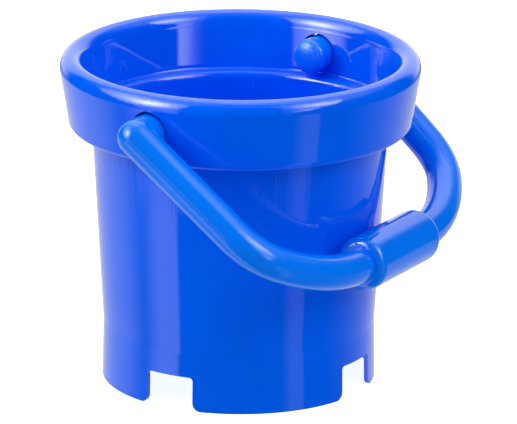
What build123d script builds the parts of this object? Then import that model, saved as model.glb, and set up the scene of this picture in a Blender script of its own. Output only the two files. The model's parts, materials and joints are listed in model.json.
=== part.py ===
"""Castle-foot sand bucket: a moulded pail with a turned-down collar and a swinging tubular bail.

Millimetres, +Z up.  The origin is on the bucket's axis in the plane that it stands on.
The bail's pivot axis is parallel to X, and the bail hangs towards -Y at rest.
"""
from build123d import *
import math
import os

# ---- bucket shell ---------------------------------------------------------------------------
HEIGHT = 156.5              # foot to the top of the rolled rim
RIM_RADIUS = 85.0           # widest radius, at the rolled rim
WALL = 2.0                  # moulded wall thickness
FOOT_RADIUS = 64.8          # outside of the crenellated foot, on the ground
KINK_RADIUS = 64.3          # outside, where the foot meets the tapered body
KINK_Z = 27.0
BODY_TAPER = 0.0591         # growth in radius for each millimetre of height
FLOOR_Z = 29.0              # inside surface of the bucket's floor
FLOOR_THICKNESS = 2.5
FLOOR_ROUND = 4.0           # fillet between floor and wall

# ---- collar and rim -------------------------------------------------------------------------
RIM_HALF_WIDTH = 5.6        # the rim's crown is half an ellipse
RIM_CROWN = 6.6
COLLAR_BOTTOM_Z = 122.5
COLLAR_BOTTOM_RADIUS = 81.0
COLLAR_LIP_ROUND = 3.0      # the collar's lower edge curls in by this radius
LEDGE_Z = 128.6             # step inside the bucket, level with the foot of the collar
LEDGE_CORNER_ROUND = 1.5
LEDGE_EDGE_ROUND = 3.0

# ---- crenellations --------------------------------------------------------------------------
NOTCH_WIDTH = 24.2
NOTCH_HEIGHT = 16.2
NOTCH_TOP_ROUND = 1.8
MERLON_ROUND = 4.0
CUT_MARGIN = 1.0            # how far a cutting solid runs past the surface that it cuts
MATCH_TOLERANCE = 0.01      # for finding corners by their height

# ---- bail -----------------------------------------------------------------------------------
PIVOT_Z = 139.4
PIVOT_HOLE_RADIUS = 9.0
PIVOT_HOLE_RISE = 0.45  # the rod rests low in its holes, so they are centred a little above it
ROD_RADIUS = 8.35
TUBE_WALL = 2.2
ELBOW_X = 95.2              # where a leg's centreline meets the pivot axis
LEG_LEAN = 3.9              # degrees that each leg leans inwards
BAIL_DEPTH = 104.4          # pivot axis to the grip's axis
GRIP_STRAIGHT = 28.9        # half the straight stretch under the grip
SLOW_BEND_RADIUS = 79.0     # gentle bend beside the grip
SLOW_BEND_TURN = 40.0       # degrees
REST_DROP = 39.2            # degrees that the resting bail hangs below the horizontal
TUBE_END_X = 66.0           # ends of the tube, inside the bucket

# ---- grip and end caps ----------------------------------------------------------------------
GRIP_RADIUS = 12.75
GRIP_HALF_LENGTH = 28.5
GRIP_END_ROUND = 4.0
FIT_GAP = 0.03              # radial gap of the fitted pieces
CAP_DOME = 3.7              # height of a cap's dome above its rim
CAP_RIM = 0.8               # height of the straight rim under the dome
CAP_SPIGOT = 9.0            # length that goes into the tube
CAP_SPIGOT_CHAMFER = 0.8

# ---- worked out from the above --------------------------------------------------------------
RIM_CENTRE = RIM_RADIUS - RIM_HALF_WIDTH
RIM_BASE_Z = HEIGHT - RIM_CROWN
MOUTH_RADIUS = RIM_RADIUS - 2 * RIM_HALF_WIDTH
LEDGE_UNDER_Z = LEDGE_Z - WALL
LIP_CENTRE_Z = COLLAR_BOTTOM_Z + COLLAR_LIP_ROUND
LIP_END_RADIUS = COLLAR_BOTTOM_RADIUS - COLLAR_LIP_ROUND
FLOOR_UNDER_Z = FLOOR_Z - FLOOR_THICKNESS
TUBE_BORE = ROD_RADIUS - TUBE_WALL
QUICK_BEND_TURN = 90 - LEG_LEAN - SLOW_BEND_TURN


def body_radius(z):
    """Outside radius of the tapered body at a height."""
    return KINK_RADIUS + BODY_TAPER * (z - KINK_Z)


def crown(half_width, height):
    """Half ellipse over the rim, from its outer foot to its inner foot."""
    return EllipticalCenterArc((RIM_CENTRE, RIM_BASE_Z), half_width, height, start_angle=0, arc_size=180)


def corners_at(section, height):
    """Corners of the shell's half section at a height, from the axis outwards."""
    level = section.vertices().filter_by(lambda corner: abs(corner.Y - height) < MATCH_TOLERANCE)
    return level.sort_by(Axis.X)


def quick_bend_radius():
    """Radius of the second bend, so that the leg after it ends on the pivot axis at ELBOW_X."""
    slow = math.radians(SLOW_BEND_TURN)
    whole = math.radians(SLOW_BEND_TURN + QUICK_BEND_TURN)
    across = GRIP_STRAIGHT + SLOW_BEND_RADIUS * math.sin(slow)
    depth = BAIL_DEPTH - SLOW_BEND_RADIUS * (1 - math.cos(slow))
    lean = math.tan(math.radians(LEG_LEAN))
    return (ELBOW_X - across - depth * lean) / (
        math.sin(whole) - math.sin(slow) - (math.cos(slow) - math.cos(whole)) * lean
    )


with BuildPart() as bucket_shell:
    with BuildSketch(Plane.XZ) as half_section:
        with BuildLine():
            # outside of the foot and body, up to the underside of the ledge
            Polyline(
                (FOOT_RADIUS, 0),
                (KINK_RADIUS, KINK_Z),
                (body_radius(LEDGE_UNDER_Z), LEDGE_UNDER_Z),
                (MOUTH_RADIUS + WALL, LEDGE_UNDER_Z),
                (MOUTH_RADIUS + WALL, RIM_BASE_Z),
            )
            # hollow of the collar, and the lip that curls in under it
            crown(RIM_HALF_WIDTH - WALL, RIM_CROWN - WALL)
            Line((RIM_RADIUS - WALL, RIM_BASE_Z), (COLLAR_BOTTOM_RADIUS - WALL, LIP_CENTRE_Z))
            JernArc((COLLAR_BOTTOM_RADIUS - WALL, LIP_CENTRE_Z), (0, -1), COLLAR_LIP_ROUND - WALL, -90)
            Line((LIP_END_RADIUS, COLLAR_BOTTOM_Z + WALL), (LIP_END_RADIUS, COLLAR_BOTTOM_Z))
            JernArc((LIP_END_RADIUS, COLLAR_BOTTOM_Z), (1, 0), COLLAR_LIP_ROUND, 90)
            # outside of the collar and the rim's crown
            Line((COLLAR_BOTTOM_RADIUS, LIP_CENTRE_Z), (RIM_RADIUS, RIM_BASE_Z))
            crown(RIM_HALF_WIDTH, RIM_CROWN)
            # mouth, ledge, inside of the body, floor and the hollow under it
            Polyline(
                (MOUTH_RADIUS, RIM_BASE_Z),
                (MOUTH_RADIUS, LEDGE_Z),
                (body_radius(LEDGE_Z) - WALL, LEDGE_Z),
                (body_radius(FLOOR_Z) - WALL, FLOOR_Z),
                (0, FLOOR_Z),
                (0, FLOOR_UNDER_Z),
                (KINK_RADIUS - WALL, FLOOR_UNDER_Z),
                (FOOT_RADIUS - WALL, 0),
                (FOOT_RADIUS, 0),
            )
        make_face()
        fillet(corners_at(half_section, LEDGE_Z)[0], LEDGE_EDGE_ROUND)
        fillet(corners_at(half_section, LEDGE_Z)[-1], LEDGE_CORNER_ROUND)
        fillet(corners_at(half_section, FLOOR_Z)[-1], FLOOR_ROUND)
    revolve(axis=Axis.Z)
    # four notches, in line with the pivots and square to them
    for notch_plane in (Plane.YZ, Plane.XZ):
        with BuildSketch(notch_plane):
            with BuildLine():
                half = NOTCH_WIDTH / 2
                Line((half + MERLON_ROUND, 0), (half + MERLON_ROUND, -CUT_MARGIN))
                Line((half + MERLON_ROUND, -CUT_MARGIN), (0, -CUT_MARGIN))
                JernArc((half + MERLON_ROUND, 0), (-1, 0), MERLON_ROUND, -90)
                Line((half, MERLON_ROUND), (half, NOTCH_HEIGHT - NOTCH_TOP_ROUND))
                JernArc((half, NOTCH_HEIGHT - NOTCH_TOP_ROUND), (0, 1), NOTCH_TOP_ROUND, 90)
                Line((half - NOTCH_TOP_ROUND, NOTCH_HEIGHT), (0, NOTCH_HEIGHT))
                mirror(about=Plane.YZ)
            make_face()
        extrude(amount=RIM_RADIUS, both=True, mode=Mode.SUBTRACT)
    # pivot holes, through both walls of the collar
    with Locations(Location((0, 0, PIVOT_Z + PIVOT_HOLE_RISE), (0, 90, 0))):
        Cylinder(PIVOT_HOLE_RADIUS, 2 * (RIM_RADIUS + CUT_MARGIN), mode=Mode.SUBTRACT)

# The bail lies in one plane: local x is the pivot axis, local y runs from the pivots to the grip.
drop = math.radians(REST_DROP)
bail_plane = Plane(origin=(0, 0, PIVOT_Z), x_dir=(1, 0, 0), z_dir=(0, math.sin(drop), -math.cos(drop)))

with BuildLine(bail_plane) as half_route:
    straight = Line((0, BAIL_DEPTH), (GRIP_STRAIGHT, BAIL_DEPTH))
    slow_bend = JernArc(straight @ 1, straight % 1, SLOW_BEND_RADIUS, -SLOW_BEND_TURN)
    quick_bend = JernArc(slow_bend @ 1, slow_bend % 1, quick_bend_radius(), -QUICK_BEND_TURN)
    Line(quick_bend @ 1, (ELBOW_X, 0))


def half_rod(radius, mode):
    """Solid rod of one half of the bail: grip to elbow, the elbow's ball, and the stub into the bucket."""
    with BuildSketch(Plane(origin=straight @ 0, z_dir=straight % 0)) as section:
        Circle(radius)
    sweep(section.sketch, path=half_route.line, mode=mode)
    with Locations((ELBOW_X, 0, PIVOT_Z)):
        Sphere(radius, mode=mode)
    with BuildSketch(Plane(origin=(ELBOW_X, 0, PIVOT_Z), z_dir=(-1, 0, 0))) as stub_section:
        Circle(radius)
    extrude(stub_section.sketch, amount=ELBOW_X - TUBE_END_X, mode=mode)


with BuildPart() as bail_tube:
    half_rod(ROD_RADIUS, Mode.ADD)
    half_rod(TUBE_BORE, Mode.SUBTRACT)
    mirror(about=Plane.YZ)

grip_plane = Plane(origin=(half_route.line @ 0), x_dir=(1, 0, 0), z_dir=bail_plane.z_dir)
with BuildPart() as grip_sleeve:
    with BuildSketch(grip_plane):
        with Locations((0, (GRIP_RADIUS + ROD_RADIUS + FIT_GAP) / 2)):
            grip_wall = Rectangle(2 * GRIP_HALF_LENGTH, GRIP_RADIUS - ROD_RADIUS - FIT_GAP)
        fillet(grip_wall.vertices().group_by(Axis.Y)[-1], GRIP_END_ROUND)
    revolve(axis=Axis(grip_plane.origin, grip_plane.x_dir))


def make_cap(side):
    """End cap: a shallow dome over the tube's end, with a spigot that presses into its bore."""
    cap_plane = Plane(origin=(side * TUBE_END_X, 0, PIVOT_Z), x_dir=(-side, 0, 0), z_dir=(0, side, 0))
    with BuildPart() as cap:
        with BuildSketch(cap_plane):
            with BuildLine():
                spigot_radius = TUBE_BORE - FIT_GAP
                Polyline(
                    (CAP_RIM + CAP_DOME, 0),
                    (-CAP_SPIGOT, 0),
                    (-CAP_SPIGOT, spigot_radius - CAP_SPIGOT_CHAMFER),
                    (-CAP_SPIGOT + CAP_SPIGOT_CHAMFER, spigot_radius),
                    (0, spigot_radius),
                    (0, ROD_RADIUS),
                    (CAP_RIM, ROD_RADIUS),
                )
                EllipticalCenterArc((CAP_RIM, 0), CAP_DOME, ROD_RADIUS, start_angle=0, arc_size=90)
            make_face()
        revolve(axis=Axis((0, 0, PIVOT_Z), (1, 0, 0)))
    return cap


front_end_cap = make_cap(-1)
rear_end_cap = make_cap(1)

os.makedirs("parts", exist_ok=True)
bucket_shell.part.label = "bucket_shell"
export_step(bucket_shell.part, "parts/bucket_shell.step")
bail_tube.part.label = "bail_tube"
export_step(bail_tube.part, "parts/bail_tube.step")
grip_sleeve.part.label = "grip_sleeve"
export_step(grip_sleeve.part, "parts/grip_sleeve.step")
front_end_cap.part.label = "front_end_cap"
export_step(front_end_cap.part, "parts/front_end_cap.step")
rear_end_cap.part.label = "rear_end_cap"
export_step(rear_end_cap.part, "parts/rear_end_cap.step")
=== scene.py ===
"""Sand bucket: moulded plastic finishes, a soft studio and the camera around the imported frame."""
import json
import math

import bpy
from mathutils import Matrix, Vector


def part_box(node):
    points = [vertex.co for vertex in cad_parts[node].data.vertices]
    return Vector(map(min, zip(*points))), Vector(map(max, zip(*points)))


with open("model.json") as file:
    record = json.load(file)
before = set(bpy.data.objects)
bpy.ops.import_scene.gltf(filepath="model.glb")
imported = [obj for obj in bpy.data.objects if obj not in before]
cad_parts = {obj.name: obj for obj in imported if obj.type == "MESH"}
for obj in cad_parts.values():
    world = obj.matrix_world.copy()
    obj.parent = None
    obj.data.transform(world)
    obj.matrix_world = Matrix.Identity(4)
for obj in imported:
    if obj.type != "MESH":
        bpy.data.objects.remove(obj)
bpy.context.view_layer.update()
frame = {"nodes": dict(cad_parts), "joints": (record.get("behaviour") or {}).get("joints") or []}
nodes = frame["nodes"]
scene = bpy.context.scene
scene.view_settings.view_transform = "Standard"
scene.view_settings.look = "None"

# ---- camera ---------------------------------------------------------------------------------
AZIMUTH, ELEVATION, ROLL = -60.0, 17.08, 0.447  # degrees
DISTANCE = 2.975  # m
LENS, SENSOR = 438.3, 36.0  # mm
CLIP = (0.1, 50.0)
TARGET = Vector((0, 0, 0.0765))
AIM_RIGHT, AIM_UP = 0.00893, 0.00228  # the aim's offset across the view, m

# ---- light on matt surfaces -----------------------------------------------------------------
FILL_ABOVE, FILL_BELOW = 0.46, 0.92  # soft light from the room, and what the table throws back
FILL_TURN = (4, -10)  # degrees of height between the two
CAMERA_SEES = 1.0  # strength of the white behind the bucket
LAMP_DISTANCE = 1.3
# bearing (positive to the camera's right), elevation, size, watts
LAMPS = {
    "key_left": (-70, 36, 0.6, 6.6),
    "key_right": (62, 38, 0.6, 4.4),
    "top": (0, 90, 0.7, 4.5),
}

# ---- what gloss reflects --------------------------------------------------------------------
# Bearings and heights in degrees.  An edge is (where it is dark, where it is bright).
TABLE_HEIGHT = (-9, -14)
TABLE = (  # edges in bearing, strength
    (((-78, -112),), 0.95),  # behind on the left
    (((-50, -54), (-90, -66)), 1.5),  # under the left softbox
    (((72, 160),), 0.9),  # behind on the right
    (((36, 48), (58, 55)), 0.55),  # under the right softbox
)
BACKDROP_BEARING, BACKDROP_HEIGHT, BACKDROP = (134, 150), (-12, -3), 1.4
SIDE_CEILING_BEARING, SIDE_CEILING_HEIGHT, SIDE_CEILING = (40, 90), (24, 52), 1.1
CEILING_HEIGHT, CEILING = (48, 70), 0.4
SOFTBOXES = (
    {
        "sides": ((-37, -41), (-124, -108)),
        "heights": ((68, 50), (-12, -6)),
        "slope": 0.76,  # of the slanting lower edge
        "slant": (-59, -50),
        # each: bearing and spread, height and spread, strength
        "spots": ((-62, 15, 29, 16, 17.0), (-80, 25, 36, 18, 5.0)),
        "even": 1.2,
    },
    {
        "sides": ((25, 42), (112, 88)),
        "heights": ((70, 54), (-12, -6)),
        "slope": -0.82,
        "slant": (-28, -25),
        "spots": ((62, 20, 41, 12, 9.5), (45, 9, 12, 12, 3.0)),
        "even": 1.1,
    },
)

# ---- table ----------------------------------------------------------------------------------
FLOOR_HALF, FLOOR_Z = 15.0, -0.0002
FLOOR_TONE, FLOOR_ROUGHNESS, FLOOR_GLOW = 0.93, 0.9, 0.95

# ---- plastic --------------------------------------------------------------------------------
WHITE = (1.0, 1.0, 1.0, 1.0)
BLUE = (0.0, 0.118, 0.92)  # the pail
SKY = (0.0, 0.180, 0.93)  # the bail, its grip and its caps
WORN = (0.35, 0.55, 1.0, 1.0)  # nicked or rubbed plastic
IOR = 1.5
SHINE = 0.5  # strength of the reflection
MIDDLE = (0.3, 0.7)  # the usual range of a noise
DETAIL, FINE_DETAIL, PLAIN_DETAIL = 2.0, 3.0, 1.0  # layers in a noise
# faint mottle in the colour
MOTTLE_SCALE, MOTTLE_DETAIL, MOTTLE_DEPTH = 22.0, 4.0, 0.04
# specks of dust and tiny nicks: an edge in distance from a cell's middle
SPECK_SCALE, SPECK_EDGE = 85.0, (0.055, 0.02)
# fine scratches, and the patches that they come in
SCRATCH_TURN, SCRATCH_SCALE, SCRATCH_RANGE = (0.5, 0.9, 0.4), (30.0, 900.0, 260.0), (0.66, 0.74)
SCRATCH_PATCH_SCALE, SCRATCH_PATCH_RANGE, SCRATCH_WEAR = 60.0, (0.58, 0.72), 0.25
# the rubbed patch, of which SCUFF_CORE is fully rubbed
SCUFF_TURN, SCUFF_SCALE, SCUFF_RANGE = (0.2, 0.3, 0.8), (500.0, 1600.0, 700.0), (0.48, 0.62)
SCUFF_WEAR, SCUFF_CORE = 0.3, 0.4
# how much full wear shows in the colour and adds to the roughness
WEAR_TINT, WEAR_ROUGHNESS = 0.45, 0.25
# uneven polish, and orange peel at two sizes
POLISH_SCALE, POLISH_DEPTH = 35.0, 0.2
FINE_PEEL_SCALE, COARSE_PEEL_SCALE, COARSE_PEEL = 420.0, 95.0, 3.0
# drag lines under the collar: noise unrolled round the pail, their depth, edges in height and across
# it (m), and how strong they are beyond the edge across
DRAG_AROUND, DRAG_ALONG, DRAG_SCALE, DRAG_DEPTH = 34.0, 6.0, 1.6, 0.00020
DRAG_BOTTOM, DRAG_TOP, DRAG_SIDE, DRAG_ELSEWHERE = (0.088, 0.108), (0.128, 0.122), (-0.02, -0.06), 0.12
# the collar's inner wall (m), and how far its shading leans up; the wall itself is nearly upright
WALL_RADIUS, WALL_BOTTOM, WALL_TOP = (0.0785, 0.0775), (0.1300, 0.1315), (0.1520, 0.1500)
WALL_LEAN = 0.27
# the rear cap's rubbed patch, from the pivot axis (m)
CAP_SCUFF_ASIDE, CAP_SCUFF_UP, CAP_SCUFF_REACH = -0.003, 0.006, 0.009


def direction(azimuth, elevation):
    """Unit vector from the bucket towards this bearing; 0 is -Y and 90 is +X."""
    a, e = math.radians(azimuth), math.radians(elevation)
    return Vector((math.sin(a) * math.cos(e), -math.cos(a) * math.cos(e), math.sin(e)))


def link(obj):
    scene.collection.objects.link(obj)
    return obj


class Graph:
    """Short calls for building a shader's nodes."""

    def __init__(self, owner):
        owner.use_nodes = True
        self.tree = owner.node_tree
        self.tree.nodes.clear()

    def feed(self, socket, value):
        if isinstance(value, bpy.types.NodeSocket):
            self.tree.links.new(value, socket)
        else:
            socket.default_value = value

    def node(self, kind, inputs=(), **settings):
        made = self.tree.nodes.new("ShaderNode" + kind)
        for key, value in settings.items():
            setattr(made, key, value)
        for key, value in dict(inputs).items():
            self.feed(made.inputs[key], value)
        return made

    def calc(self, operation, *values):
        made = self.node("Math", operation=operation)
        for socket, value in zip(made.inputs, values):
            self.feed(socket, value)
        return made.outputs[0]

    def chain(self, operation, values):
        result = values[0]
        for value in values[1:]:
            result = self.calc(operation, result, value)
        return result

    def product(self, *factors):
        return self.chain("MULTIPLY", factors)

    def total(self, *terms):
        return self.chain("ADD", terms)

    def noise(self, vector, scale=1.0, detail=DETAIL):
        return self.node("TexNoise", {"Vector": vector, "Scale": scale, "Detail": detail}).outputs["Fac"]

    def stretched(self, vector, turn, scale):
        return self.node("Mapping", {"Vector": vector, "Rotation": turn, "Scale": scale}).outputs[0]

    def ramp(self, value, edge, low=0.0, high=1.0):
        """low at the edge's first value and high at its second, smooth between."""
        start, end = edge
        if end < start:
            start, end, low, high = end, start, high, low
        made = self.node(
            "MapRange",
            {"Value": value, "From Min": start, "From Max": end, "To Min": low, "To Max": high},
            interpolation_type="SMOOTHSTEP",
        )
        return made.outputs["Result"]

    def bell(self, value, centre, spread):
        """Bell curve of value about centre."""
        away = self.calc("DIVIDE", self.calc("SUBTRACT", value, centre), spread)
        return self.calc("EXPONENT", self.product(away, away, -1.0))


def build_camera():
    back = direction(AZIMUTH, ELEVATION)
    level = (-back).to_track_quat("-Z", "Y").to_matrix()
    place = TARGET + back * DISTANCE + level @ Vector((AIM_RIGHT, AIM_UP, 0))
    optics = bpy.data.cameras.new("camera")
    optics.lens, optics.sensor_width = LENS, SENSOR
    optics.clip_start, optics.clip_end = CLIP
    camera = link(bpy.data.objects.new("camera", optics))
    tilt = level @ Matrix.Rotation(math.radians(ROLL), 3, "Z")
    camera.matrix_world = Matrix.Translation(place) @ tilt.to_4x4()
    scene.camera = camera


def softbox_light(g, bearing, height, box):
    """One softbox: brightest at its spots, with a slanting lower edge."""
    slanted = g.total(height, g.product(bearing, box["slope"]))
    shape = g.product(
        *(g.ramp(bearing, edge) for edge in box["sides"]),
        *(g.ramp(height, edge) for edge in box["heights"]),
        g.ramp(slanted, box["slant"]),
    )
    spots = [
        g.product(g.bell(bearing, at, wide), g.bell(height, up, tall), strength)
        for at, wide, up, tall, strength in box["spots"]
    ]
    return g.product(shape, g.total(box["even"], *spots))


def build_world():
    """Matt surfaces see a soft white room, brighter below.  Gloss sees a white table and backdrop in a dark
    room, with two softboxes in front, one each side of the camera."""
    world = bpy.data.worlds.new("studio")
    scene.world = world
    g = Graph(world)
    toward = g.node("TexCoord").outputs["Generated"]
    turned = g.node(
        "VectorRotate",
        {"Vector": toward, "Angle": -math.radians(AZIMUTH)},
        rotation_type="Z_AXIS",
    )
    x, y, z = g.node("SeparateXYZ", {0: turned.outputs[0]}).outputs
    bearing = g.calc("DEGREES", g.calc("ARCTAN2", x, g.product(y, -1.0)))
    height = g.calc("DEGREES", g.calc("ARCSINE", z))
    away = g.calc("ABSOLUTE", bearing)
    table = g.ramp(height, TABLE_HEIGHT)
    light = g.total(
        *(
            g.product(table, *(g.ramp(bearing, edge) for edge in edges), strength)
            for edges, strength in TABLE
        ),
        g.product(g.ramp(away, BACKDROP_BEARING), g.ramp(height, BACKDROP_HEIGHT), BACKDROP),
        g.product(g.ramp(away, SIDE_CEILING_BEARING), g.ramp(height, SIDE_CEILING_HEIGHT), SIDE_CEILING),
        g.product(g.ramp(height, CEILING_HEIGHT), CEILING),
        *(softbox_light(g, bearing, height, box) for box in SOFTBOXES),
    )
    soft = g.ramp(height, FILL_TURN, FILL_ABOVE, FILL_BELOW)
    gloss = g.node("Background", {"Color": WHITE, "Strength": light})
    fill = g.node("Background", {"Color": WHITE, "Strength": soft})
    show = g.node("Background", {"Color": WHITE, "Strength": CAMERA_SEES})
    path = g.node("LightPath")
    lit = g.node("MixShader", {0: path.outputs["Is Glossy Ray"], 1: fill.outputs[0], 2: gloss.outputs[0]})
    seen = g.node("MixShader", {0: path.outputs["Is Camera Ray"], 1: lit.outputs[0], 2: show.outputs[0]})
    g.node("OutputWorld", {"Surface": seen.outputs[0]})


def build_lamp(name, bearing, elevation, size, watts):
    data = bpy.data.lights.new(name, "AREA")
    data.shape, data.size, data.energy = "SQUARE", size, watts
    lamp = link(bpy.data.objects.new(name, data))
    out = direction(AZIMUTH + bearing, elevation)
    turn = (-out).to_track_quat("-Z", "Y").to_matrix().to_4x4()
    lamp.matrix_world = Matrix.Translation(out * LAMP_DISTANCE) @ turn
    lamp.visible_camera = False
    lamp.visible_glossy = False  # the world holds what gloss reflects


def build_floor():
    mesh = bpy.data.meshes.new("floor")
    h, z = FLOOR_HALF, FLOOR_Z
    mesh.from_pydata([(-h, -h, z), (h, -h, z), (h, h, z), (-h, h, z)], [], [(0, 1, 2, 3)])
    floor = link(bpy.data.objects.new("floor", mesh))
    floor.visible_glossy = False  # the world's table is what gloss and matt surfaces see
    floor.visible_diffuse = False
    paint = bpy.data.materials.new("floor")
    g = Graph(paint)
    pale = (FLOOR_TONE, FLOOR_TONE, FLOOR_TONE, 1)
    shader = g.node("BsdfPrincipled", {"Base Color": pale, "Roughness": FLOOR_ROUGHNESS})
    g.feed(shader.inputs["Emission Color"], pale)
    g.feed(shader.inputs["Emission Strength"], FLOOR_GLOW)
    g.node("OutputMaterial", {"Surface": shader.outputs[0]})
    mesh.materials.append(paint)


def plastic(slot, color, roughness, peel, marks, shine=SHINE, shell=False, scuffed=None):
    """Moulded plastic: faint mottle in the colour, orange peel, dust specks and fine scratches.
    peel is the finer orange peel's height in metres, and marks the share of cells that hold a speck.
    The shell also has drag lines under its collar, and an inner wall shaded as if it were drafted.
    scuffed is the middle and the reach of a rubbed patch."""
    paint = bpy.data.materials.new(slot)
    g = Graph(paint)
    at = g.node("TexCoord").outputs["Object"]
    facing = g.node("NewGeometry").outputs["Normal"]
    darker = (*(c * (1 - MOTTLE_DEPTH) for c in color), 1)
    lighter = (*(min(c * (1 + MOTTLE_DEPTH), 1) for c in color), 1)
    mottle = g.ramp(g.noise(at, MOTTLE_SCALE, MOTTLE_DETAIL), MIDDLE)
    tone = g.node("MixRGB", {0: mottle, 1: darker, 2: lighter}).outputs[0]

    cells = g.node("TexVoronoi", {"Vector": at, "Scale": SPECK_SCALE})
    pick = g.node("TexWhiteNoise", {"Vector": cells.outputs["Position"]}, noise_dimensions="3D")
    speck = g.product(
        g.ramp(cells.outputs["Distance"], SPECK_EDGE), g.ramp(pick.outputs["Value"], (1 - marks, 1.0))
    )
    scratch = g.product(
        g.ramp(g.noise(g.stretched(at, SCRATCH_TURN, SCRATCH_SCALE), detail=FINE_DETAIL), SCRATCH_RANGE),
        g.ramp(g.noise(at, SCRATCH_PATCH_SCALE), SCRATCH_PATCH_RANGE),
    )
    wear = g.total(speck, g.product(scratch, SCRATCH_WEAR))
    if scuffed:
        centre, reach = scuffed
        near = g.node("VectorMath", {0: at, 1: centre}, operation="DISTANCE").outputs["Value"]
        rubbed = g.noise(g.stretched(at, SCUFF_TURN, SCUFF_SCALE), detail=FINE_DETAIL)
        patch = g.product(g.ramp(near, (reach, reach * SCUFF_CORE)), g.ramp(rubbed, SCUFF_RANGE))
        wear = g.total(wear, g.product(patch, SCUFF_WEAR))
    shown = g.node("MixRGB", {0: g.product(wear, WEAR_TINT), 1: tone, 2: WORN}).outputs[0]
    smooth, dull = roughness * (1 - POLISH_DEPTH), roughness * (1 + POLISH_DEPTH)
    polish = g.ramp(g.noise(at, POLISH_SCALE, FINE_DETAIL), MIDDLE, smooth, dull)
    rough = g.total(polish, g.product(wear, WEAR_ROUGHNESS))

    relief = g.total(
        g.product(g.noise(at, FINE_PEEL_SCALE, PLAIN_DETAIL), peel),
        g.product(g.noise(at, COARSE_PEEL_SCALE, PLAIN_DETAIL), peel * COARSE_PEEL),
    )
    if shell:
        x, y, z = g.node("SeparateXYZ", {0: at}).outputs
        around = g.product(g.calc("ARCTAN2", y, x), DRAG_AROUND)
        unrolled = g.node("CombineXYZ", {0: around, 1: g.product(z, DRAG_ALONG)}).outputs[0]
        lines = g.noise(unrolled, DRAG_SCALE, FINE_DETAIL)
        band = g.product(g.ramp(z, DRAG_BOTTOM), g.ramp(z, DRAG_TOP))
        side = g.total(g.ramp(x, DRAG_SIDE), DRAG_ELSEWHERE)
        relief = g.total(relief, g.product(lines, band, side, DRAG_DEPTH))

        radius = g.calc("SQRT", g.total(g.product(x, x), g.product(y, y)))
        wall = g.product(g.ramp(radius, WALL_RADIUS), g.ramp(z, WALL_BOTTOM), g.ramp(z, WALL_TOP))
        lean = g.node("CombineXYZ", {2: g.product(wall, WALL_LEAN)}).outputs[0]
        leaned = g.node("VectorMath", {0: facing, 1: lean}, operation="ADD").outputs[0]
        facing = g.node("VectorMath", {0: leaned}, operation="NORMALIZE").outputs[0]
    # relief is in metres already, so the bump takes it at full strength
    bump = g.node("Bump", {"Height": relief, "Strength": 1.0, "Distance": 1.0, "Normal": facing})
    shader = g.node(
        "BsdfPrincipled",
        {
            "Base Color": shown,
            "Roughness": rough,
            "IOR": IOR,
            "Specular IOR Level": shine,
            "Normal": bump.outputs[0],
        },
    )
    g.node("OutputMaterial", {"Surface": shader.outputs[0]})
    return paint


build_camera()
build_world()
for name, values in LAMPS.items():
    build_lamp(name, *values)
build_floor()

pivot_z = frame["joints"][0]["pos_m"][2]
cap_inner_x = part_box("rear_end_cap")[0][0]
cap_scuff = (cap_inner_x, CAP_SCUFF_ASIDE, pivot_z + CAP_SCUFF_UP)
FINISHES = {
    "bucket_shell": plastic("bucket_plastic", BLUE, roughness=0.050, peel=1.5e-6, marks=0.05, shell=True),
    "bail_tube": plastic("bail_plastic", SKY, roughness=0.12, peel=5.0e-6, marks=0.06, shine=0.38),
    "grip_sleeve": plastic("grip_plastic", SKY, roughness=0.10, peel=3.0e-6, marks=0.03),
    "rear_end_cap": plastic(
        "cap_plastic", SKY, roughness=0.24, peel=5.0e-6, marks=0.08, scuffed=(cap_scuff, CAP_SCUFF_REACH)
    ),
}
FINISHES["front_end_cap"] = FINISHES["rear_end_cap"]
for name, finish in FINISHES.items():
    nodes[name].data.materials.clear()
    nodes[name].data.materials.append(finish)
